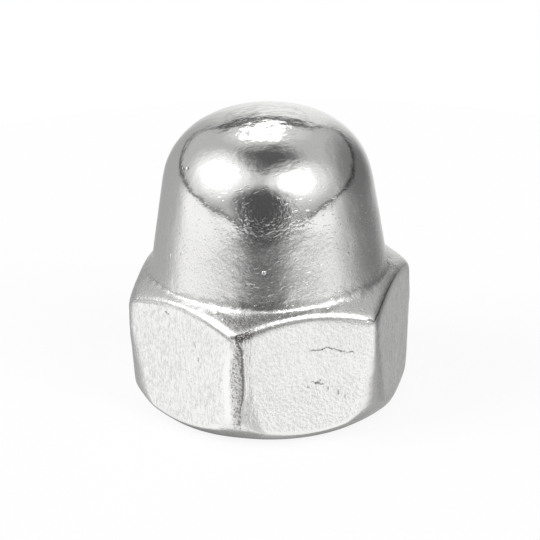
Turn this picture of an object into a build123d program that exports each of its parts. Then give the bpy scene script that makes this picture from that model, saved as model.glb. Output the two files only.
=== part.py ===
"""Domed cap nut, M6 x 1, cold formed in one piece from stainless steel.

Millimetres, +Z up. The origin is the centre of the bearing face, which the nut
stands on. The dome points up, two flats face +Y and -Y, and two corners point
along +X and -X. The thread itself is not cut here: the blind hole has the
diameter that is drilled before tapping.
"""

import os
from math import cos, radians, sin, sqrt, tan

from build123d import *

# Wrench size and overall height
across_flats = 10.0
total_height = 11.8

# Hexagon: the flats end in a cone that rises to the foot of the dome
flat_height = 5.28
corner_rounding = 0.53
shoulder_angle = 33.8
shoulder_width = 0.39
shoulder_edge_radius = 0.3

# Corners: forming leaves them short of full width towards the base
full_corner_height = 3.5
corner_draft = 4.6
base_bevel_angle = 39.3
base_bevel_setback = 0.44
base_corner_radius = 1.18

# Dome: a tapered wall, a knuckle and a flatter crown
wall_draft = 8.2
dome_foot_radius = 0.5
knuckle_radius = 2.75
crown_radius = 6.7

# Blind tapped hole
thread_diameter = 6.0
thread_pitch = 1.0
crown_wall = 1.95
drill_point_angle = 118.0
mouth_bevel = 0.8
mouth_bevel_angle = 45.0

# Sizes that follow from the ones above
flat_distance = across_flats / 2
corner_centre_radius = (flat_distance - corner_rounding) / cos(radians(30))
corner_reach = corner_centre_radius + corner_rounding
dome_foot = flat_distance - shoulder_width
shoulder_height = flat_height + shoulder_width * tan(radians(shoulder_angle))
bearing_radius = flat_distance - base_bevel_setback
hole_radius = (thread_diameter - thread_pitch) / 2
mouth_radius = hole_radius + mouth_bevel
drill_point = hole_radius / tan(radians(drill_point_angle / 2))
hole_depth = total_height - crown_wall - drill_point


def meeting_point(first, first_angle, second, second_angle):
    """Where two lines meet, each through a point (radius, height) at an angle."""
    first_way = (cos(radians(first_angle)), sin(radians(first_angle)))
    second_way = (cos(radians(second_angle)), sin(radians(second_angle)))
    gap = (second[0] - first[0], second[1] - first[1])
    cross = first_way[0] * second_way[1] - first_way[1] * second_way[0]
    along = (gap[0] * second_way[1] - gap[1] * second_way[0]) / cross
    return (first[0] + along * first_way[0], first[1] + along * first_way[1])


def wall_top():
    """Where the straight dome wall, drawn on, would run into the crown."""
    slope = tan(radians(wall_draft))
    below_centre = shoulder_height - (total_height - crown_radius)
    reach = dome_foot + below_centre * slope
    half = reach * slope / (1 + slope**2)
    height = half + sqrt(half**2 - (reach**2 - crown_radius**2) / (1 + slope**2))
    return (reach - height * slope, total_height - crown_radius + height)


def outer_form():
    """The turned form of the nut, before the hexagon is taken from it."""
    bearing_edge = (bearing_radius, 0)
    corner_side = (corner_reach, full_corner_height)
    base_corner = meeting_point(bearing_edge, base_bevel_angle, corner_side, 90 - corner_draft)
    flat_top = (flat_distance, flat_height)
    upper_corner = meeting_point(corner_side, 90 - corner_draft, flat_top, 180 - shoulder_angle)
    foot = (dome_foot, shoulder_height)
    knuckle = wall_top()
    top = (0, total_height)
    outline = Polyline((0, 0), bearing_edge, base_corner, upper_corner, foot, knuckle)
    outline += RadiusArc(knuckle, top, -crown_radius)
    outline += Line(top, (0, 0))
    section = make_face(outline)
    for corner, radius in (
        (base_corner, base_corner_radius),
        (foot, dome_foot_radius),
        (knuckle, knuckle_radius),
    ):
        vertex = section.vertices().sort_by_distance(corner)[0]
        section = fillet(vertex, radius)
    return revolve(Plane.XZ * section, Axis.Z)


def hexagon():
    """The wrench hexagon with its upright edges rounded."""
    outline = RegularPolygon(flat_distance, 6, major_radius=False)
    outline = fillet(outline.vertices(), corner_rounding)
    return extrude(outline, total_height)


def tapped_hole():
    """The blind hole at its drilled size, with a bevelled mouth and a drill point."""
    bevel_height = mouth_bevel / tan(radians(mouth_bevel_angle))
    outline = Polyline(
        (0, 0),
        (mouth_radius, 0),
        (hole_radius, bevel_height),
        (hole_radius, hole_depth),
        (0, hole_depth + drill_point),
        close=True,
    )
    return revolve(Plane.XZ * make_face(outline), Axis.Z)


def soften_shoulder(nut):
    """Round the edges where the shoulder cone runs out over flats and corners."""
    cones = nut.faces().filter_by(GeomType.CONE)
    shoulder = cones.sort_by_distance((flat_distance, 0, shoulder_height))[0]
    edges = shoulder.edges().sort_by(Axis.Z)[:-1]
    return fillet(edges, shoulder_edge_radius)


cap_nut = outer_form() & hexagon()
cap_nut = soften_shoulder(cap_nut) - tapped_hole()

os.makedirs("parts", exist_ok=True)
export_step(cap_nut, "parts/cap_nut.step")
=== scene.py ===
import math

import bmesh
import bpy
from mathutils import Matrix, Vector


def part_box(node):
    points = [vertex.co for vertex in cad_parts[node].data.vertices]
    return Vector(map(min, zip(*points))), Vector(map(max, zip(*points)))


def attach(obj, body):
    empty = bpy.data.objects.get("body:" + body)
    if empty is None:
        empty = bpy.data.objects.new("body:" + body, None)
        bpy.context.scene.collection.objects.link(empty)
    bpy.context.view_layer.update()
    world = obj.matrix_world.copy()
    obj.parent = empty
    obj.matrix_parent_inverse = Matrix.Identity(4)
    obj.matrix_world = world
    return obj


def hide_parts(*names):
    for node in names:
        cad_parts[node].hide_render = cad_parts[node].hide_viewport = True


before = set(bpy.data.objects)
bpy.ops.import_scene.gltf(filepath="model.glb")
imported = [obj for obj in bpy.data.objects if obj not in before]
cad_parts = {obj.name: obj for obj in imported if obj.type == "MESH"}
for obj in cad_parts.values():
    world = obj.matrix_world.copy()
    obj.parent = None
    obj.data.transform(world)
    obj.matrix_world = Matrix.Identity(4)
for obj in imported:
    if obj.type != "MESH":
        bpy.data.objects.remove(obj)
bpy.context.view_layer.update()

mm = 0.001
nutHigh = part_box("cap_nut")[1]
print("frame loaded")


class Wire:  # one node's output, which Python can do sums with
    def __init__(self, board, socket):
        self.board = board
        self.socket = socket

    def maths(self, operation, *others):
        values = dict(enumerate((self, *others)))
        return self.board.node("Math", values, operation=operation)

    def __add__(self, other):
        return self.maths("ADD", other)

    def __sub__(self, other):
        return self.maths("SUBTRACT", other)

    def __rsub__(self, other):
        return self.board.node("Math", {0: other, 1: self}, operation="SUBTRACT")

    def __mul__(self, other):
        return self.maths("MULTIPLY", other)

    def __truediv__(self, other):
        return self.maths("DIVIDE", other)

    def __abs__(self):
        return self.maths("ABSOLUTE")

    __radd__ = __add__
    __rmul__ = __mul__

    def ramp(self, low, high):  # 0 below low, 1 above high, soft between; low may be the larger
        values = {"Value": self, "From Min": low, "From Max": high}
        return self.board.node("MapRange", values, interpolation_type="SMOOTHSTEP")

    def along(self, direction):
        return self.board.node("VectorMath", {0: self, 1: direction}, "Value", operation="DOT_PRODUCT")


class Board:  # a node tree, with one method for every kind of node
    def __init__(self, tree):
        self.tree = tree
        tree.nodes.clear()

    def node(self, kind, values=None, output=0, **settings):
        made = self.tree.nodes.new("ShaderNode" + kind)
        for name, setting in settings.items():
            if name == "points":  # the line of a curve node
                line = made.mapping.curves[0]
                for spot in setting[1:-1]:
                    line.points.new(*spot)
                line.points[0].location = setting[0]
                line.points[-1].location = setting[-1]
                for spot in line.points:
                    spot.handle_type = "VECTOR"
                made.mapping.update()
            else:
                setattr(made, name, setting)
        for key, value in (values or {}).items():
            if isinstance(value, Wire):
                self.tree.links.new(value.socket, made.inputs[key])
            else:
                made.inputs[key].default_value = value
        return Wire(self, made.outputs[output]) if made.outputs else None


def wayTo(azimuth, elevation):  # azimuth 0 is -Y, 90 is +X, as the camera's is counted
    turn, lift = math.radians(azimuth), math.radians(elevation)
    return Vector((math.sin(turn) * math.cos(lift), -math.cos(turn) * math.cos(lift), math.sin(lift)))


# the photo's viewpoint
shot = {
    "azimuth": -15.43,
    "elevation": 24.03,
    "roll": -1.17,
    "distance": 250 * mm,
    "aimHeight": 5.2 * mm,
    "aimSide": 0.02 * mm,
    "focalLength": 426.6,
    "sensor": 36,
}


def makeCamera(settings):
    data = bpy.data.cameras.new("photoView")
    data.lens = settings["focalLength"]
    data.sensor_width = settings["sensor"]
    data.clip_start = 10 * mm
    data.clip_end = 10
    back = wayTo(settings["azimuth"], settings["elevation"])
    level = Vector((0, 0, 1)).cross(back).normalized()
    upright = back.cross(level)
    roll = math.radians(settings["roll"])
    right = math.cos(roll) * level + math.sin(roll) * upright
    up = back.cross(right)
    aim = level * settings["aimSide"] + Vector((0, 0, settings["aimHeight"]))
    camera = bpy.data.objects.new("photoView", data)
    bpy.context.collection.objects.link(camera)
    place = Matrix((right, up, back)).transposed().to_4x4()
    place.translation = aim + back * settings["distance"]
    camera.matrix_world = place
    bpy.context.scene.camera = camera
    print("camera placed")


# a white table in a light tent; directions are counted from the camera
studio = {
    "wallGrey": 0.51,
    "roofGrey": 0.1,
    "roof": (58, 78),  # elevations between which the wall turns into the roof
    "leftBox": ((-76, 43), (9, 19), 5.0, (14, 44), 0.55),  # way, hot disc, its light, glow, its light
    "rightBox": ((44, 43), (9, 19), 4.6, (14, 42), 0.45),
    "backBox": ((180, 46), (3, 10), 3.4, (8, 20), 0.2),
    "cameraShade": ((-6, 13), (16, 37), 0.84),
    "rightShade": ((122, 6), (12, 42), 0.6),
    "tableWhite": 1.0,  # how much of the white the metal sees in the table
    "frontShade": (-5, (12, 30), 0.42),  # way, half widths, how much darker the table is there
    "sideShade": (119, (20, 58), 0.58),
    "rearShade": (-138, (20, 44), 0.55),
    "backShade": (180, (25, 75), 0.08),
    # a painted contact shadow: round the nut the metal sees a dark table, whole up to here, gone past there,
    # and this much see-through
    "paintedContactShadow": (4.3 * mm, 5.5 * mm, 0.22),
    # grey of the painted contact shadow
    "paintedShadowGrey": 0.02,
    "tableTilt": (0.06, -0.2),  # height of the table's far edge, at the side and towards the camera
    "screen": (180, (15, 25), 0.3),  # the backdrop behind the nut stands higher
    "edgeSoft": 0.02,
    "edgeLine": (0.055, 0.88),  # half height of the dark line where the table ends, and how dark it is
    "screenLine": 0.25,  # how much taller the line is in front of the backdrop
    "floorHole": 4.4 * mm,  # under the nut, so that its base is lit in views from below
    "floorSize": 30 * mm,
    "floorSides": 96,
    "floorGrey": 0.9,
    "floorWhite": 0.88,
}


def mirroredRay(board):
    glossy = board.node("LightPath", output="Is Glossy Ray")
    return glossy.maths("MAXIMUM", board.node("LightPath", output="Is Transmission Ray"))


def cosines(angles):
    return [math.cos(math.radians(angle)) for angle in angles]


def lightStudio(settings):
    world = bpy.data.worlds.new("lightTent")
    bpy.context.scene.world = world
    world.use_nodes = True
    board = Board(world.node_tree)
    way = board.node("TexCoord", output="Generated")

    def disc(target, edges):
        near, far = cosines(edges)
        return way.along(wayTo(target[0] + shot["azimuth"], target[1])).ramp(far, near)

    lift = way.along((0, 0, 1))
    roofFrom, roofTo = (math.sin(math.radians(edge)) for edge in settings["roof"])
    roof = lift.ramp(roofFrom, roofTo)
    tent = settings["wallGrey"] + roof * (settings["roofGrey"] - settings["wallGrey"])
    for name in ("leftBox", "rightBox", "backBox"):
        target, hot, hotLight, glow, glowLight = settings[name]
        tent = tent + disc(target, glow) * glowLight + disc(target, hot) * hotLight
    towards = way.along(wayTo(shot["azimuth"], 0))
    level = board.node("VectorMath", {0: way, 1: (1, 1, 0)}, operation="MULTIPLY")
    level = board.node("VectorMath", {0: level}, operation="NORMALIZE")

    def sector(azimuth, edges):
        near, far = cosines(edges)
        return level.along(wayTo(azimuth + shot["azimuth"], 0)).ramp(far, near)

    screen = sector(*settings["screen"][:2]) * settings["screen"][2]
    aboveEdge = lift - (settings["tableTilt"][0] + towards * settings["tableTilt"][1]) - screen
    overTable = aboveEdge.ramp(-settings["edgeSoft"], settings["edgeSoft"])
    lineHeight, lineDark = settings["edgeLine"]
    fromEdge = abs(aboveEdge) / (lineHeight + screen * settings["screenLine"])
    shade = 1 - fromEdge.ramp(1, 0.3) * lineDark
    for name in ("cameraShade", "rightShade"):
        target, edges, depth = settings[name]
        shade = shade * (1 - disc(target, edges) * depth)
    tentLight = board.node("Background", {"Color": (1, 1, 1, 1), "Strength": overTable * tent * shade})
    white = board.node("Background", {"Color": (1, 1, 1, 1), "Strength": 1})
    table = settings["tableWhite"]
    for name in ("frontShade", "sideShade", "rearShade", "backShade"):
        table = table * (1 - sector(settings[name][0], settings[name][1]) * settings[name][2])
    inMetal = table * (1 - overTable) * shade * mirroredRay(board)
    fromCamera = board.node("LightPath", output="Is Camera Ray")
    seen = board.node("MixShader", {0: fromCamera.maths("MAXIMUM", inMetal), 1: tentLight, 2: white})
    board.node("OutputWorld", {"Surface": seen})
    print("studio lit")


def makeFloor(settings):
    bpy.ops.object.select_all(action="DESELECT")
    bpy.ops.mesh.primitive_circle_add(vertices=settings["floorSides"], radius=settings["floorHole"])
    floor = bpy.context.object
    floor.name = "whiteTable"
    bpy.ops.object.mode_set(mode="EDIT")
    bpy.ops.mesh.extrude_edges_move()
    bpy.ops.transform.resize(value=(settings["floorSize"] / settings["floorHole"],) * 3)
    bpy.ops.mesh.select_all(action="SELECT")
    bpy.ops.mesh.normals_make_consistent(inside=False)
    bpy.ops.object.mode_set(mode="OBJECT")
    if floor.data.polygons[0].normal.z < 0:
        floor.data.flip_normals()
    material = bpy.data.materials.new("whiteTable")
    material.use_nodes = True
    board = Board(material.node_tree)
    grey, darkGrey = settings["floorGrey"], settings["paintedShadowGrey"]
    paper = board.node("BsdfDiffuse", {"Color": (grey, grey, grey, 1)})
    white = board.node("Emission", {"Color": (1, 1, 1, 1), "Strength": 1})
    # painted contact shadow: a dark sheet that only reflections see round the nut
    dark = board.node("BsdfDiffuse", {"Color": (darkGrey, darkGrey, darkGrey, 1)})
    clear = board.node("BsdfTransparent")
    place = board.node("TexCoord", output="Object")
    reach = board.node("VectorMath", {0: place}, "Value", operation="LENGTH")
    fromCamera = board.node("LightPath", output="Is Camera Ray")
    under = board.node("NewGeometry", output="Backfacing")
    seen = board.node("MixShader", {0: fromCamera * settings["floorWhite"], 1: paper, 2: white})
    near, wide, least = settings["paintedContactShadow"]
    clearness = least + reach.ramp(near, wide) * (1 - least)
    inMetal = board.node("MixShader", {0: clearness, 1: dark, 2: clear})
    seen = board.node("MixShader", {0: mirroredRay(board), 1: seen, 2: inMetal})
    seen = board.node("MixShader", {0: under, 1: seen, 2: clear})
    board.node("OutputMaterial", {"Surface": seen})
    floor.data.materials.append(material)
    print("table laid")


# the nut, millimetres and degrees; its height and width come from the frame
nut = {
    "flat": nutHigh.y / mm,
    "height": nutHigh.z / mm,
    "cornerReach": 5.69,
    "cornerRounding": 0.53,
    "flatTop": 5.28,
    "shoulderAngle": 33.8,
    "shoulderWidth": 0.39,
    "bearing": 4.56,
    "bevelAngle": 39.3,
    "baseRound": 1.18,
    "cornerDraft": 4.6,
    "fullCornerHeight": 3.5,
    "wallDraft": 8.2,
    "knuckle": 2.75,
    "crown": 6.7,
    "edgeRound": 0.6,
    "cornerWear": (4.6, 1.2, 3.2),  # from one height down to another the corners get rounder, by degrees
    "mouth": 3.3,
    "columnsPerFlat": 16,
    "evenColumns": 0.55,  # 1 spaces a flat's columns evenly, 0 crowds them at the corners
    "baseRoundSteps": 16,
    "smoothing": 2,
    "sharpFrom": 35,  # edges that turn more than this stay sharp
}
rings = {  # where the rings of the mesh lie
    "bearingReaches": (3.42, 3.75, 4.2, 4.48),  # between the mouth and the bevel
    "bevelShares": (0.15, 0.45, 0.75),
    "flatShares": (0, 0.04, 0.12, 0.24, 0.37, 0.5, 0.63, 0.76, 0.87, "edge", 1),
    "shoulderShares": (0.42, 0.7),
    "wallShares": (0, 0.12, 0.26, 0.42, 0.57, 0.72, 0.86, 1),
    "knuckleShares": (0.17, 0.34, 0.5, 0.67, 0.84, 1),
    "crownReaches": (1.9, 1.5),  # inside the last, a grid closes the crown
}


def between(value, low, high):  # 0 at low, 1 at high
    return max(0, min(1, (value - low) / (high - low)))


def crossing(first, firstAngle, second, secondAngle):  # where two lines meet, each a point and an angle
    a = Vector((math.cos(math.radians(firstAngle)), math.sin(math.radians(firstAngle))))
    b = Vector((math.cos(math.radians(secondAngle)), math.sin(math.radians(secondAngle))))
    gap = Vector(second) - Vector(first)
    along = (gap.x * b.y - gap.y * b.x) / (a.x * b.y - a.y * b.x)
    return Vector(first) + a * along


def roundCorner(before, corner, after, radius, steps):  # points of the arc that rounds a corner
    inWay = (before - corner).normalized()
    outWay = (after - corner).normalized()
    half = inWay.angle(outWay) / 2
    centre = corner + (inWay + outWay).normalized() * (radius / math.sin(half))
    start = corner + inWay * (radius / math.tan(half)) - centre
    finish = corner + outWay * (radius / math.tan(half)) - centre
    turn = start.angle_signed(finish)
    return [centre + Matrix.Rotation(-turn * step / steps, 2) @ start for step in range(steps + 1)]


def profilePoint(points, share):  # a point at a share of a polyline's length
    lengths = [(b - a).length for a, b in zip(points, points[1:])]
    left = share * sum(lengths)
    for a, b, length in zip(points, points[1:], lengths):
        if left <= length or b is points[-1]:
            return a.lerp(b, min(1, left / length))
        left -= length


def baseProfile(size):  # bearing edge, bevel, rounded base corner, drafted corner
    bearing = Vector((size["bearing"], 0))
    top = Vector((size["cornerReach"], size["fullCornerHeight"]))
    sharp = crossing(bearing, size["bevelAngle"], top, 90 - size["cornerDraft"])
    above = top + (top - sharp)
    return [bearing] + roundCorner(bearing, sharp, top, size["baseRound"], size["baseRoundSteps"]) + [above]


def heightAtReach(points, reach):  # where the base profile reaches a radius
    for a, b in zip(points, points[1:]):
        if b.x >= reach:
            return a.lerp(b, (reach - a.x) / (b.x - a.x))
    return points[-1]


def reachAtHeight(points, height):
    for a, b in zip(points, points[1:]):
        if b.y >= height:
            return a.lerp(b, (height - a.y) / (b.y - a.y)).x
    return points[-1].x


def cornerAngles(size, border):  # angles of one flat's columns, from its middle to the corner
    half = size["columnsPerFlat"] // 2
    shares = [math.sin(math.radians(90 * step / (half - 1))) for step in range(half)]
    straight = [step / (half - 1) for step in range(half)]
    even = size["evenColumns"]
    mixed = [(1 - even) * a + even * b for a, b in zip(shares, straight)]
    return [border * share for share in mixed] + [30]


def hexRing(size, border, pointAt):  # a whole ring: six flats of mirrored columns
    one = cornerAngles(size, border)
    angles = [-a for a in reversed(one[1:-1])] + one
    ring = []
    for side in range(6):
        for angle in angles:
            reach, height = pointAt(abs(angle))
            turn = math.radians(side * 60 + angle)
            ring.append(Vector((reach * math.sin(turn), -reach * math.cos(turn), height)) * mm)
    return ring


def roundRing(size, reach, height):
    count = size["columnsPerFlat"] * 6
    step = 2 * math.pi / count
    first = -(size["columnsPerFlat"] // 2 - 1)
    grown = reach * 3 / (2 + math.cos(step))  # smoothing pulls a ring in by this much
    turns = [(first + index) * step for index in range(count)]
    return [Vector((grown * math.sin(turn), -grown * math.cos(turn), height)) * mm for turn in turns]


def nutRings(size):
    flat = size["flat"]
    slope = math.tan(math.radians(size["shoulderAngle"]))
    base = baseProfile(size)
    foot = Vector((flat - size["shoulderWidth"], size["flatTop"] + size["shoulderWidth"] * slope))
    across = flat - size["cornerRounding"]
    tipTurn = math.cos(math.radians(30))
    tangent = math.atan2(size["cornerRounding"] / 2, across / tipTurn + size["cornerRounding"] * tipTurn)
    fullBorder = 30 - math.degrees(tangent)
    roundBorder = 30 * (1 - 2 / size["columnsPerFlat"])  # where the border lies on a round ring
    cornerStart = base[-2]

    def reachAt(angle, height):  # plan radius of the hexagon part
        drum = reachAtHeight(base, height)
        if angle < 29.9:  # all columns but the corner's own
            return min(flat / math.cos(math.radians(angle)), drum)
        border = borderAt(height)
        side = min(flat / math.cos(math.radians(border)), drum)
        tip = min(size["cornerReach"], drum)
        beside = side * math.cos(math.radians(30 - border))
        return (6 * tip - 2 * beside) / 4  # set further out, because smoothing pulls it back to the tip

    def borderAt(height):
        drum = reachAtHeight(base, height)
        wornFrom, wornTo, worn = size["cornerWear"]
        worn *= between(height, wornFrom, wornTo)
        return min(fullBorder, math.degrees(math.acos(min(1, flat / drum)))) - worn

    def creaseLow(angle):  # where bevel and flat meet
        reach = min(flat / math.cos(math.radians(angle)), cornerStart.x)
        return heightAtReach(base, reach)

    def creaseHigh(angle):  # where shoulder and flat meet
        reach = min(flat / math.cos(math.radians(angle)), size["cornerReach"])
        return Vector((reach, size["flatTop"] + (flat - reach) * slope))

    made = [roundRing(size, reach, 0) for reach in (size["mouth"], *rings["bearingReaches"])]
    lowBorder = borderAt(cornerStart.y)
    for share in rings["bevelShares"]:
        def onBevel(angle, share=share):
            upTo = creaseLow(angle)
            part = [spot for spot in base if spot.y < upTo.y] + [upTo]
            return tuple(profilePoint(part, share))
        made.append(hexRing(size, lowBorder, onBevel))
    lowHeight, highHeight = creaseLow(lowBorder).y, creaseHigh(fullBorder).y
    for share in rings["flatShares"]:
        def onFlat(angle, share=share):
            low, high = creaseLow(angle).y, creaseHigh(angle)
            if share == 1:
                return tuple(high)
            height = high.y - size["edgeRound"] if share == "edge" else low + (high.y - low) * share
            return reachAt(angle, height), height
        upTo = highHeight if share == "edge" else lowHeight + (highHeight - lowHeight) * share
        made.append(hexRing(size, borderAt(upTo), onFlat))
    for share in rings["shoulderShares"]:
        def onShoulder(angle, share=share):
            return tuple(creaseHigh(angle).lerp(foot, share))
        made.append(hexRing(size, fullBorder * (1 - share) + roundBorder * share, onShoulder))
    return made + domeRings(size, foot)


def domeRings(size, foot):  # the drafted wall, the knuckle and the crown, each tangent to the next
    draft = math.radians(size["wallDraft"])
    centre = Vector((0, size["height"] - size["crown"]))
    wallWay = Vector((-math.sin(draft), math.cos(draft)))
    inward = Vector((-wallWay.y, wallWay.x))
    start = foot + inward * size["knuckle"] - centre
    ahead = start.dot(wallWay)
    run = -ahead + math.sqrt(ahead**2 - start.length_squared + (size["crown"] - size["knuckle"])**2)
    knuckleCentre = foot + inward * size["knuckle"] + wallWay * run
    wallTop = foot + wallWay * run
    crownFrom = math.atan2(knuckleCentre.y - centre.y, knuckleCentre.x)
    spots = [foot.lerp(wallTop, share) for share in rings["wallShares"]]
    for share in rings["knuckleShares"]:
        angle = draft + (crownFrom - draft) * share
        spots.append(knuckleCentre + Vector((math.cos(angle), math.sin(angle))) * size["knuckle"])
    for reach in rings["crownReaches"]:
        spots.append(Vector((reach, crownHeight(size, reach))))
    return [roundRing(size, spot.x, spot.y) for spot in spots]


def crownHeight(size, reach):
    return size["height"] - size["crown"] + math.sqrt(size["crown"]**2 - reach**2)


def modelShell(size):
    cage = nutRings(size)
    bpy.ops.object.select_all(action="DESELECT")
    bpy.ops.mesh.primitive_circle_add(vertices=len(cage[0]), radius=size["mouth"] * mm)
    shell = bpy.context.object
    shell.name = "capNut"
    for vertex, place in zip(shell.data.vertices, cage[0]):
        vertex.co = place
    bpy.ops.object.mode_set(mode="EDIT")
    bpy.ops.mesh.select_mode(type="VERT")
    bpy.ops.mesh.select_all(action="SELECT")
    for ring in cage[1:]:
        bpy.ops.mesh.extrude_edges_move()
        body = bmesh.from_edit_mesh(shell.data)
        picked = [vertex for vertex in body.verts if vertex.select]
        picked.sort(key=lambda vertex: vertex.index)
        for vertex, place in zip(picked, ring):
            vertex.co = place
        bmesh.update_edit_mesh(shell.data)
    bpy.ops.mesh.fill_grid(span=len(cage[0]) // 4)
    body = bmesh.from_edit_mesh(shell.data)
    for vertex in body.verts:  # the grid that closes the crown is seated on the crown's sphere
        reach = vertex.co.xy.length / mm
        if reach < rings["crownReaches"][-1] + 0.01 and vertex.co.z > size["flatTop"] * mm:
            vertex.co.z = crownHeight(size, reach) * mm
    bmesh.update_edit_mesh(shell.data)
    bpy.ops.mesh.select_all(action="SELECT")
    bpy.ops.mesh.normals_make_consistent(inside=False)
    bpy.ops.object.mode_set(mode="OBJECT")
    smooth = shell.modifiers.new("smooth", "SUBSURF")
    smooth.levels = smooth.render_levels = size["smoothing"]
    bpy.ops.object.modifier_apply(modifier="smooth")
    bpy.ops.object.shade_smooth()
    print("shell modelled", len(shell.data.polygons), "faces")
    return shell


# forging marks: size of the pattern, how far it moves the surface; all millimetres
wear = {
    "skin": (0.3, 0.007),
    "dome": (1.1, 0.026),
    "crown": (1.3, 0.036),
    "shoulder": (0.4, 0.05),
    "flats": (0.7, 0.012),
    "corners": (0.35, 0.03),
}
# the front corner came out of the die blunter than the rest: past this reach the metal is pressed flat
frontCorner = {
    "azimuth": -30,
    "reach": 5.61,
    "soft": 0.05,
    "softShare": 0.2,  # how far the soft zone gives
}


def wearWeights(size):  # how much each mark takes at a point, from its radius and height
    top = size["flatTop"]

    def facing(place):  # how far out the point lies from the nearest flat's middle
        turn = math.degrees(math.atan2(place.x, -place.y)) % 60
        return abs((turn + 30) % 60 - 30)

    def skin(place, reach):
        return between(place.z, 0.05, 0.5)

    def dome(place, reach):
        return between(place.z, top + 0.8, top + 2)

    def crown(place, reach):
        return between(reach, 2.9, 2.0) * between(place.z, 9, 10)

    def shoulder(place, reach):
        return between(place.z, top - 0.1, top + 0.2) * between(place.z, top + 0.9, top + 0.5)

    def flats(place, reach):
        return between(place.z, 0.1, 0.8) * between(place.z, top, top - 0.5)

    def corners(place, reach):
        return flats(place, reach) * between(facing(place), 24, 27.5)

    return {mark.__name__: mark for mark in (skin, dome, crown, shoulder, flats, corners)}


def bluntCorner(shell, size):
    way = wayTo(frontCorner["azimuth"], 0)
    soft = frontCorner["soft"]
    for vertex in shell.data.vertices:
        over = vertex.co.dot(way) / mm - frontCorner["reach"]
        if over > -soft and vertex.co.z < size["flatTop"] * mm:
            pressed = max(over, 0) + min(over + soft, soft) * frontCorner["softShare"]
            vertex.co -= way * pressed * mm


def wearShell(shell, size):
    bpy.ops.object.select_all(action="DESELECT")
    shell.select_set(True)
    bpy.context.view_layer.objects.active = shell
    bluntCorner(shell, size)
    for name, weigh in wearWeights(size).items():
        scale, depth = wear[name]
        group = shell.vertex_groups.new(name=name)
        for vertex in shell.data.vertices:
            place = vertex.co / mm
            weight = weigh(place, place.xy.length)
            if weight > 0:
                group.add([vertex.index], weight, "REPLACE")
        pattern = bpy.data.textures.new(name, "CLOUDS")
        pattern.noise_scale = scale * mm
        marks = shell.modifiers.new(name, "DISPLACE")
        marks.texture = pattern
        marks.texture_coords = "LOCAL"
        marks.vertex_group = name
        marks.strength = depth * mm
        marks.mid_level = 0.5
        bpy.ops.object.modifier_apply(modifier=name)
    shell.vertex_groups.clear()
    print("forging marks made")


# the threaded hole, millimetres
thread = {
    "major": 3.0,
    "minor": 2.5,
    "pitch": 1.0,
    "rootFlat": 0.125,
    "turns": 8,
    "start": -0.6,
    "depth": 8.35,
    "point": 9.85,
    "mouthBevel": 0.8,
    "steps": 384,
    "turnSteps": 96,
    "cutterInset": 0.2,  # how far inside the hole's wall the thread's cutter starts
    "block": (0.3, 0.7),  # the metal round the hole that the thread is cut in, at its side and top
}


def drawOutline(name, points):  # a chain of vertices in the XZ plane, as (radius, height)
    bpy.ops.object.select_all(action="DESELECT")
    bpy.ops.mesh.primitive_plane_add(size=mm)
    drawn = bpy.context.object
    drawn.name = name
    bpy.ops.object.mode_set(mode="EDIT")
    bpy.ops.mesh.merge(type="CENTER")
    bpy.ops.transform.translate(value=(points[0][0] * mm, 0, points[0][1] * mm))
    for before, after in zip(points, points[1:]):
        step = ((after[0] - before[0]) * mm, 0, (after[1] - before[1]) * mm)
        bpy.ops.mesh.extrude_vertices_move(TRANSFORM_OT_translate={"value": step})
    bpy.ops.mesh.select_all(action="SELECT")
    return drawn


def modelCutter(size):  # the thread's groove, as a solid
    wide = size["rootFlat"] / 2
    inner = size["minor"] - size["cutterInset"]
    flank = wide + (size["major"] - inner) * math.tan(math.radians(30))
    cutter = drawOutline("threadCutter", [
        (inner, -flank), (size["major"], -wide), (size["major"], wide), (inner, flank),
    ])
    bpy.ops.mesh.edge_face_add()
    bpy.ops.mesh.delete(type="ONLY_FACE")
    bpy.ops.object.mode_set(mode="OBJECT")
    screw = cutter.modifiers.new("screw", "SCREW")
    screw.screw_offset = size["pitch"] * mm
    screw.iterations = size["turns"]
    screw.steps = screw.render_steps = size["turnSteps"]
    bpy.ops.object.modifier_apply(modifier="screw")
    bpy.ops.object.mode_set(mode="EDIT")
    bpy.ops.mesh.select_all(action="DESELECT")
    bpy.ops.mesh.select_non_manifold()
    bpy.ops.mesh.fill_holes(sides=0)
    bpy.ops.mesh.select_all(action="SELECT")
    bpy.ops.transform.translate(value=(0, 0, size["start"] * mm))
    bpy.ops.mesh.normals_make_consistent(inside=False)
    bpy.ops.object.mode_set(mode="OBJECT")
    return cutter


def modelThread(size, mouth):
    cutter = modelCutter(size)
    hull, roof = mouth + size["block"][0], size["point"] + size["block"][1]
    bore = drawOutline("threadedHole", [
        (mouth, 0), (size["minor"], size["mouthBevel"]), (size["minor"], size["depth"]), (0, size["point"]),
        (0, roof), (hull, roof), (hull, 0), (mouth, 0),
    ])
    bpy.ops.mesh.spin(steps=size["steps"], angle=2 * math.pi, center=(0, 0, 0), axis=(0, 0, 1))
    bpy.ops.mesh.select_all(action="SELECT")
    bpy.ops.mesh.remove_doubles(threshold=0.001 * mm)
    bpy.ops.mesh.normals_make_consistent(inside=False)
    bpy.ops.object.mode_set(mode="OBJECT")
    cut = bore.modifiers.new("cut", "BOOLEAN")
    cut.object = cutter
    cut.operation = "DIFFERENCE"
    cut.solver = "EXACT"
    bpy.ops.object.modifier_apply(modifier="cut")
    bpy.data.objects.remove(cutter)
    bpy.ops.object.mode_set(mode="EDIT")
    body = bmesh.from_edit_mesh(bore.data)
    for face in body.faces:  # only the wall of the hole is kept
        middle = face.calc_center_median() / mm
        outer = middle.xy.length > mouth + 0.05 or middle.z > size["point"] + 0.1
        level = middle.z < 0.01 and abs(face.normal.z) > 0.9
        face.select_set(outer or level)
    bmesh.update_edit_mesh(bore.data)
    bpy.ops.mesh.delete(type="FACE")
    bpy.ops.object.mode_set(mode="OBJECT")
    print("thread cut", len(bore.data.polygons), "faces")
    return bore


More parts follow.
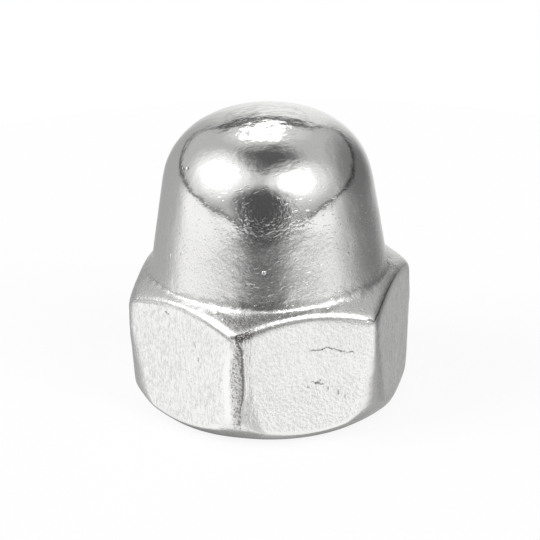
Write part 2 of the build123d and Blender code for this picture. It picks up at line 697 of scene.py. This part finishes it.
def joinBore(shell, bore, size):
    bpy.ops.object.select_all(action="DESELECT")
    bore.select_set(True)
    shell.select_set(True)
    bpy.context.view_layer.objects.active = shell
    bpy.ops.object.join()
    bpy.ops.object.mode_set(mode="EDIT")
    bpy.ops.mesh.select_all(action="DESELECT")
    bpy.ops.mesh.select_non_manifold()
    bpy.ops.mesh.remove_doubles(threshold=0.01 * mm)
    bpy.ops.mesh.select_all(action="SELECT")
    bpy.ops.mesh.normals_make_consistent(inside=False)
    bpy.ops.mesh.select_all(action="DESELECT")
    bpy.ops.mesh.select_non_manifold()
    body = bmesh.from_edit_mesh(shell.data)
    openEdges = sum(edge.select for edge in body.edges)
    print("bore joined, open edges left:", openEdges, "volume in mm3:", round(body.calc_volume() / mm**3, 1))
    bpy.ops.object.mode_set(mode="OBJECT")
    bpy.ops.object.shade_smooth_by_angle(angle=math.radians(size["sharpFrom"]))


# stainless steel, bright on the dome and dull on the flats; lengths in millimetres
steel = {
    "colour": (0.9, 0.895, 0.885, 1),
    # lighter colour for painted sheen and painted highlights
    "sheenColour": (0.97, 0.97, 0.96, 1),
    "dirtAndShadeColour": (0.3, 0.29, 0.28, 1),
    "domeRough": 0.13,
    "wallRough": 0.25,
    "shoulderRough": 0.27,
    "flatRough": 0.25,
    "grainRough": 0.06,
    "grain": (0.08, 0.0013),  # a pattern's size, and how high it stands
    "waves": (0.26, 0.0036),
    "flecks": (0.14, 0.006),
    "wallGrain": (0.15, 0.0065),
    "shoulderGrain": (0.11, 0.009),
    "scar": (0.13, 0.015),
    "brushed": (0.13, 0.007),
    "swirl": (0.5, 0.006),
    "tip": (0.2, 0.003),
    "flatGrain": (0.06, 0.004),
    "streaks": 0.09,
    "relief": (0.1, (0.016, 0.016, 0.012)),  # a pattern's size, and how far its shadow falls
    "beaded": (0.11, (0.028, 0, 0.02)),
    "hollowDepth": 0.003,
    "sunkDepth": 0.012,
    "beadSlope": 0.32,
    "specks": (0.06, 0.25),  # a pattern's size, and how much darker it is
    # how much the painted relief shading and the mottle darken the flats
    "flatShadeAndMottle": 0.37,
    "tipReach": (1.7, 1.5),
    "tipTone": (0.32, -0.06),  # how much darker its lines are, and how much lighter the rest
    "stain": 0.45,
    # how much of the painted sheen colour the flats take
    "flatSheen": 0.8,
    "lip": (0.24, 0.1),  # above a flat's lower edge, from dull down to bright
    "lipShine": 0.85,
}
zones = {  # heights at which a finish fades in, or out where the first is the larger
    "dome": (7.6, 9),
    "shoulder": (6.4, 5.9),
    "wall": (9.4, 8),
    "flecked": (11.5, 9),
    "brushed": (10.3, 10.8),
    "swirl": (11, 11.4),
    "tip": (11, 11.2),
    "beaded": (3.6, 1.6),
    "corner": (4.92, 4.8),
    "strip": (0.5, 1.2),
    "stripTop": (3.6, 4.3),
    "widening": (4.7, 3),
    "paintedSheen": (0.8, 1.4),
    "dripFoot": (0.9, 1.1),
    "dripTop": (3.4, 2.6),
    "stain": (4.7, 4.8),
    "stainTop": (5.5, 5.3),
}
scarSpot = (-14, 0, 9.15, 1.5, 0.95)  # azimuth, along, up, half width, half height
crack = [  # along the front flat and up it
    (0.05, 3.88), (0.33, 3.9), (0.57, 3.88), (0.81, 3.93), (0.97, 3.89), (1.13, 3.86), (1.29, 3.76),
    (1.57, 3.64), (1.73, 3.6), (1.85, 3.64), (2.05, 3.53),
]
crackFinish = {
    "halfWidth": (0.055, 0.01),
    "ragged": (0.13, 0.16),  # a pattern's size, and how far it moves the line
    "ends": ((0, 0.15), (1, 0.95)),
    "broken": (0.12, 0.75),  # a pattern's size, and how dark the line is
}
groove = [  # up the front corner, and how far right of it
    (1.2, 0.14), (1.81, 0.18), (2.2, 0.27), (2.89, 0.31), (3.51, 0.3), (4.27, 0.28),
    (4.6, 0.15), (4.75, 0.12),
]
cornerFinish = {  # widths are counted across the front corner, to the right
    "reach": (5.2, 5.4),
    "grooveHalf": (0.02, 0.11),  # half width that it gains up to its top, and what a pattern adds
    "grooveEnds": ((0, 0.2), (1, 0.98)),
    # how dark the groove is painted: painted shade in it
    "grooveDark": 0.75,
    "stripEdge": (0.26, -0.04),  # how much further left the strip starts at its foot, and where at its top
    "stripRagged": (0.13, 0.3),
    "stripLeft": (-0.08, 0.12),
    "stripRight": (0.04, -0.02),
    "stripTones": (0.3, 0.1, 0.02),  # painted shade: darker towards the groove, at the top, and all over
    "ripples": (0.11, 0.06, 0.55),  # a pattern's size, how high it stands, how dark it is
    "wrinkles": (0.07, 0.03, 0.4),
    "wrinkledFrom": (0.25, 0.4),
    "wrinkledTo": (0.75, 0.55),
    "edgeFrom": (-0.34, -0.24),
    "edgeTo": (0.02, -0.06),
    "dripFrom": (0.05, 0.1),
    "dripTo": (0.24, 0.16),
}
creaseFinish = {  # the line where the shoulder's cone meets the flats, painted dark as shade and as a dark reflection along it
    "ragged": (0.3, 0.06),
    "below": 0.08,  # how far inside the edge it lies; on the right flat it lies at the edge
    "halfWidth": (0.06, 0.02),
    "fade": (0.5, 0.3),
    "dark": 0.2,
    "rightDark": 0.6,  # how much darker the painted line is on the right flat
    "rightReach": (4.6, 4.7),
    "rightFade": (1.5, -0.5),
    "nibBelow": 0.03,  # the torn spot at the top of the front corner
    "nibHalf": (0.16, 0.1),
    "nibFrom": (0.02, 0.1),
    "nibTo": (0.75, 0.45),
    "nibReach": (5, 5.2),
    "nibFade": (0.4, 0.3),
}
beads = [  # azimuth, height, half width
    (-18.3, 7.03, 0.08), (-75.6, 6.86, 0.08), (-66, 7.2, 0.06),
]
pits = [  # azimuth of the side, along it, up it, half width, half height, how dark
    (0, 0.43, 2.49, 0.12, 0.07, 1), (0, 0.25, 2.56, 0.09, 0.035, 0.6), (0, 0.6, 2.42, 0.1, 0.035, 0.6),
    (0, 0.55, 2.6, 0.05, 0.05, 0.5), (0, 0.07, 2.37, 0.06, 0.03, 0.5), (0, 0.87, 2.21, 0.04, 0.09, 0.5),
    (0, 1.27, 1.98, 0.05, 0.12, 0.6), (0, 1.54, 1.77, 0.03, 0.08, 0.5), (60, -2.04, 2.59, 0.06, 0.05, 0.5),
    (-60, -0.74, 4.87, 0.07, 0.04, 0.8), (-60, -0.63, 4.82, 0.08, 0.035, 0.9),
    (-60, 0.81, 3.94, 0.03, 0.14, 0.4), (-60, 0.96, 3.35, 0.03, 0.14, 0.5),
    (-75, -0.13, 10.31, 0.12, 0.035, 0.9), (-75, 0.07, 10.39, 0.08, 0.06, 0.9),
]


class Surface:  # where a point of the nut lies, in millimetres, and the patterns that it can take
    def __init__(self, board, size):
        self.board = board
        metres = board.node("TexCoord", output="Object")
        self.place = board.node("VectorMath", {0: metres, "Scale": 1 / mm}, operation="SCALE")
        self.height = self.place.along((0, 0, 1))
        level = board.node("VectorMath", {0: self.place, 1: (1, 1, 0)}, operation="MULTIPLY")
        self.fromAxis = board.node("VectorMath", {0: level}, "Value", operation="LENGTH")
        facing = [abs(self.towards(60 * side)) for side in range(3)]
        self.widest = facing[0].maths("MAXIMUM", facing[1]).maths("MAXIMUM", facing[2])
        self.onFlat = self.widest.ramp(size["flat"] - 0.075, size["flat"] - 0.03)
        self.offFlat = 1 - self.onFlat
        self.onFront = self.towards(0).ramp(size["flat"] - 0.2, size["flat"] - 0.1)
        self.onDome = self.zone("dome")
        aboveFlats = self.height.ramp(size["flatTop"] - 0.6, size["flatTop"])
        self.onShoulder = aboveFlats * self.zone("shoulder") * self.offFlat
        self.somewhere = self.cloud(1.1)
        self.chips = self.cloud(0.05).ramp(0.3, 0.5)

    def towards(self, azimuth):  # how far out the point lies that way
        return self.place.along(wayTo(azimuth, 0))

    def zone(self, name):
        return self.height.ramp(*zones[name])

    def cloud(self, scale, detail=2, stretch=(1, 1, 1), shift=(0, 0, 0)):
        values = {0: self.place, 1: stretch, 2: shift}
        spread = self.board.node("VectorMath", values, operation="MULTIPLY_ADD")
        return self.board.node("TexNoise", {"Vector": spread, "Scale": 1 / scale, "Detail": detail})

    def strokes(self, scale):  # short flecks that lie aslant
        turned = self.board.node("VectorRotate", {"Vector": self.place, "Axis": (1, 0.3, 0), "Angle": 0.6})
        drawn = self.board.node("VectorMath", {0: turned, 1: (0.45, 0.45, 1.3)}, operation="MULTIPLY")
        return self.board.node("TexNoise", {"Vector": drawn, "Scale": 1 / scale, "Detail": 1})

    def embossed(self, scale, shift, stretch=(1, 1, 1)):  # a pattern less its own shadow
        return self.cloud(scale, 3, stretch) - self.cloud(scale, 3, stretch, shift)

    def patch(self, azimuth, along, up, halfWidth, halfHeight):  # a soft spot on one side of the nut
        aside = (self.towards(azimuth + 90) - along) / halfWidth
        above = (self.height - up) / halfHeight
        return (aside * aside + above * above).ramp(1.2, 0.3) * self.towards(azimuth).ramp(3, 3.4)

    def track(self, value, points):  # follows the points, and says where it is between the ends
        low, high = (pick(rise for at, rise in points) for pick in (min, max))
        first, last = points[0][0], points[-1][0]
        part = (value - first) / (last - first)
        shape = [((at - first) / (last - first), (rise - low) / (high - low)) for at, rise in points]
        return self.board.node("FloatCurve", {"Value": part}, points=shape) * (high - low) + low, part


def deepest(*marks):
    most = marks[0]
    for mark in marks[1:]:
        most = most.maths("MAXIMUM", mark)
    return most


def roundMarks(spot, settings):  # on dome, wall and shoulder: how high they stand, and how dark they are
    def rough(name, detail=3, stretch=(1, 1, 1)):
        scale, depth = settings[name]
        return (spot.cloud(scale, detail, stretch) - 0.5) * depth

    fleckScale, fleckDepth = settings["flecks"]
    strokes = spot.strokes(fleckScale)
    flecks = strokes.ramp(0.64, 0.74) * spot.somewhere.ramp(0.42, 0.6)
    dents = strokes.ramp(0.36, 0.26) * spot.somewhere.ramp(0.58, 0.42)
    rise = rough("waves", 2) + (flecks - dents) * fleckDepth * spot.zone("flecked")
    rise = (rise + rough("wallGrain") * spot.zone("wall")) * spot.offFlat
    rise = rise + rough("shoulderGrain") * spot.onShoulder
    rise = rise + rough("scar", 2) * spot.patch(*scarSpot)
    rise = rise + rough("brushed", 3, (0.6, 1, 1)) * spot.zone("brushed")
    rise = rise + rough("swirl", 3, (0.35, 1, 1)) * spot.zone("swirl")
    tipScale, tipDepth = settings["tip"]
    tip = spot.fromAxis.ramp(*settings["tipReach"]) * spot.zone("tip")
    lineTone, restTone = settings["tipTone"]
    tipTone = spot.cloud(tipScale, 4, (0.4, 1, 1)).ramp(0.38, 0.6) * lineTone + restTone
    speckScale, speckTone = settings["specks"]
    specks = spot.cloud(speckScale, 4).ramp(0.45, 0.72) * (1 - spot.onDome * 0.6) * spot.offFlat
    return rise + tip * tipDepth, specks * speckTone + tip * tipTone


def flatMarks(spot, settings, size):  # upright grain on five flats, beaded on the front one; painted relief shading and random mottle darken their colour
    grainScale, grainDepth = settings["flatGrain"]
    grain = spot.cloud(grainScale, 4, (1, 1, 0.7)) - 0.5
    streaks = (spot.cloud(settings["streaks"], 3, (1, 1, 0.3)) - 0.5) * (0.6 - spot.onFront * 0.45)
    relief = spot.embossed(*settings["relief"], (1, 1, 0.45))
    beaded = spot.embossed(*settings["beaded"]) * (1 + spot.zone("beaded") * 0.7)
    relief = relief + (beaded - relief) * spot.onFront * 0.85
    # painted shading of the relief, with random mottle, darkens the flats' colour
    reliefShadeAndMottle = relief + grain * 0.6 + streaks + spot.somewhere * 0.2 - 0.1
    reliefShadeAndMottle = reliefShadeAndMottle.ramp(-0.15, 0.27) * spot.onFlat
    rim = spot.track(spot.fromAxis, [tuple(edge) for edge in baseProfile(size)])[0]
    lip = (spot.height - rim).ramp(*settings["lip"])  # the lower edge of a flat is rubbed bright
    rise = spot.onFlat * grain * grainDepth - reliefShadeAndMottle * settings["hollowDepth"]
    return rise, reliefShadeAndMottle * (1 - lip * settings["lipShine"]) * settings["flatShadeAndMottle"]


def crackMark(spot, settings):
    line, part = spot.track(spot.towards(90), crack)
    raggedScale, raggedReach = settings["ragged"]
    line = line + (spot.cloud(raggedScale) - 0.5) * raggedReach
    opened = abs(spot.height - line).ramp(*settings["halfWidth"])
    for end in settings["ends"]:
        opened = opened * part.ramp(*end)
    brokenScale, tone = settings["broken"]
    return opened * spot.onFront * spot.cloud(brokenScale).ramp(0.36, 0.56) * tone


def cornerMarks(spot, settings):  # the groove and the strip left of it, both painted darker as shade, and painted sheen on the metal on both sides
    aside = spot.towards(frontCorner["azimuth"] + 90)
    atCorner = spot.towards(frontCorner["azimuth"]).ramp(*settings["reach"]) * spot.zone("corner")

    line, part = spot.track(spot.height, groove)
    fromGroove = aside - line
    # the groove is painted dark, as painted shade in a recess
    wider, uneven = settings["grooveHalf"]
    grooved = (abs(fromGroove) / (part * wider + spot.cloud(0.12) * uneven)).ramp(1, 0.2) * atCorner
    for end in settings["grooveEnds"]:
        grooved = grooved * part.ramp(*end)

    widening, topEdge = settings["stripEdge"]
    raggedScale, raggedReach = settings["stripRagged"]
    ragged = (spot.cloud(raggedScale) - 0.5) * raggedReach
    fromStrip = aside + spot.zone("widening") * widening + topEdge + ragged
    strip = fromStrip.ramp(*settings["stripLeft"]) * fromGroove.ramp(*settings["stripRight"])
    strip = strip * spot.zone("strip") * atCorner
    # the strip is painted darker: painted shade and reflection, most near the groove
    nearGroove, high, everywhere = settings["stripTones"]
    dark = strip * (fromGroove.ramp(-0.3, 0) * nearGroove + spot.zone("stripTop") * high + everywhere)

    rippleScale, rippleDepth, rippleTone = settings["ripples"]
    ripples = (spot.cloud(rippleScale, 3) - 0.5) * strip
    wrinkleScale, wrinkleDepth, wrinkleTone = settings["wrinkles"]
    wrinkled = aside.ramp(*settings["wrinkledFrom"]) * aside.ramp(*settings["wrinkledTo"]) * atCorner
    wrinkles = (spot.cloud(wrinkleScale, 3, (1, 1, 0.2)) - 0.5) * wrinkled
    rise = ripples * rippleDepth + wrinkles * wrinkleDepth
    dark = dark + ripples.ramp(0.01, 0.1) * rippleTone + wrinkles.ramp(0, 0.25) * wrinkleTone

    # painted highlights: a lighter edge left of the strip and a lighter drip right of the groove
    edge = fromStrip.ramp(*settings["edgeFrom"]) * fromStrip.ramp(*settings["edgeTo"]) * spot.zone("paintedSheen")
    drip = fromGroove.ramp(*settings["dripFrom"]) * fromGroove.ramp(*settings["dripTo"])
    drip = drip * spot.zone("dripTop") * spot.zone("dripFoot")
    return rise, dark, grooved * settings["grooveDark"], (edge + drip) * atCorner


def creaseMarks(spot, settings, size):
    slope = math.tan(math.radians(size["shoulderAngle"]))
    cone = size["flatTop"] + (size["flat"] - spot.fromAxis) * slope
    fromShoulder = (cone - spot.height) / math.hypot(1, slope)
    raggedScale, raggedReach = settings["ragged"]
    ragged = (spot.cloud(raggedScale) - 0.5) * raggedReach
    across = size["flat"] - spot.widest - fromShoulder + ragged  # 0 where cone and flat are as near

    onRight = spot.towards(60).ramp(*settings["rightReach"])
    darker = onRight * spot.towards(150).ramp(*settings["rightFade"]) * settings["rightDark"]
    # the crease line is painted dark: painted shade and reflection
    crease = abs(across + (1 - onRight) * settings["below"]).ramp(*settings["halfWidth"])
    crease = crease * fromShoulder.ramp(*settings["fade"])

    aside = spot.towards(frontCorner["azimuth"] + 90)
    nib = abs(across + settings["nibBelow"]).ramp(*settings["nibHalf"])
    nib = nib * aside.ramp(*settings["nibFrom"]) * aside.ramp(*settings["nibTo"])
    nib = nib * spot.towards(frontCorner["azimuth"]).ramp(*settings["nibReach"])
    nib = nib * fromShoulder.ramp(*settings["nibFade"]) * (spot.chips * 0.5 + 0.5)
    return crease * (settings["dark"] + darker), nib


def stainMark(spot, size):  # a dull patch low on the shoulder, left of the front corner
    stain = (size["flat"] - spot.widest).ramp(0.2, 0.35) * spot.zone("stainTop") * spot.zone("stain")
    return stain * spot.towards(-44).ramp(4.3, 4.9) * spot.cloud(0.3, 3).ramp(0.2, 0.6)


def makeSteel(settings, size):
    material = bpy.data.materials.new("stainlessSteel")
    material.use_nodes = True
    board = Board(material.node_tree)
    spot = Surface(board, size)
    grain = spot.cloud(settings["grain"][0], 3) - 0.5
    roundRise, roundDark = roundMarks(spot, settings)
    flatRise, flatDark = flatMarks(spot, settings, size)
    cornerRise, cornerDark, grooved, paintedSheen = cornerMarks(spot, cornerFinish)
    pitted = [spot.patch(*pit[:5]) * pit[5] * spot.chips for pit in pits]
    creased, torn = creaseMarks(spot, creaseFinish, size)
    # sunk marks also darken the colour; in the groove and the crease that darkening is painted shade
    sunk = deepest(crackMark(spot, crackFinish), grooved, creased, torn, *pitted)

    rise = grain * settings["grain"][1] + roundRise + flatRise + cornerRise - sunk * settings["sunkDepth"]
    for azimuth, up, halfWidth in beads:
        rise = rise + spot.patch(azimuth, 0, up, halfWidth, halfWidth) * halfWidth * settings["beadSlope"]
    bump = board.node("Bump", {"Height": rise * mm, "Distance": 1, "Strength": 1})

    rough = settings["wallRough"] + grain * settings["grainRough"]
    for name, there in (("dome", spot.onDome), ("shoulder", spot.onShoulder), ("flat", spot.onFlat)):
        rough = rough + there * (settings[name + "Rough"] - settings["wallRough"])

    # dark sums random specks, pits, crack and stain with painted shade: the flats' relief shading, the
    # groove, the crease and the corner strip
    dark = roundDark + flatDark + cornerDark + sunk + stainMark(spot, size) * settings["stain"]
    dark = (dark * (1 - paintedSheen)).maths("MINIMUM", 1)
    # the painted highlights and all the flats take a lighter colour, a painted sheen
    bright = paintedSheen.maths("MAXIMUM", spot.onFlat * settings["flatSheen"])
    shades = {0: bright, 6: settings["colour"], 7: settings["sheenColour"]}
    colour = board.node("Mix", shades, 2, data_type="RGBA")
    shades = {0: dark, 6: colour, 7: settings["dirtAndShadeColour"]}
    colour = board.node("Mix", shades, 2, data_type="RGBA")

    finish = {"Base Color": colour, "Metallic": 1, "Roughness": rough, "Normal": bump}
    metal = board.node("BsdfPrincipled", finish, "BSDF")
    board.node("OutputMaterial", {"Surface": metal})
    print("steel made", len(board.tree.nodes), "nodes")
    return material


makeCamera(shot)
lightStudio(studio)
makeFloor(studio)
shell = modelShell(nut)
wearShell(shell, nut)
bore = modelThread(thread, nut["mouth"])
joinBore(shell, bore, nut)
shell.data.materials.append(makeSteel(steel, nut))
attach(shell, "root")
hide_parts("cap_nut")

bpy.context.scene.view_settings.view_transform = "Standard"
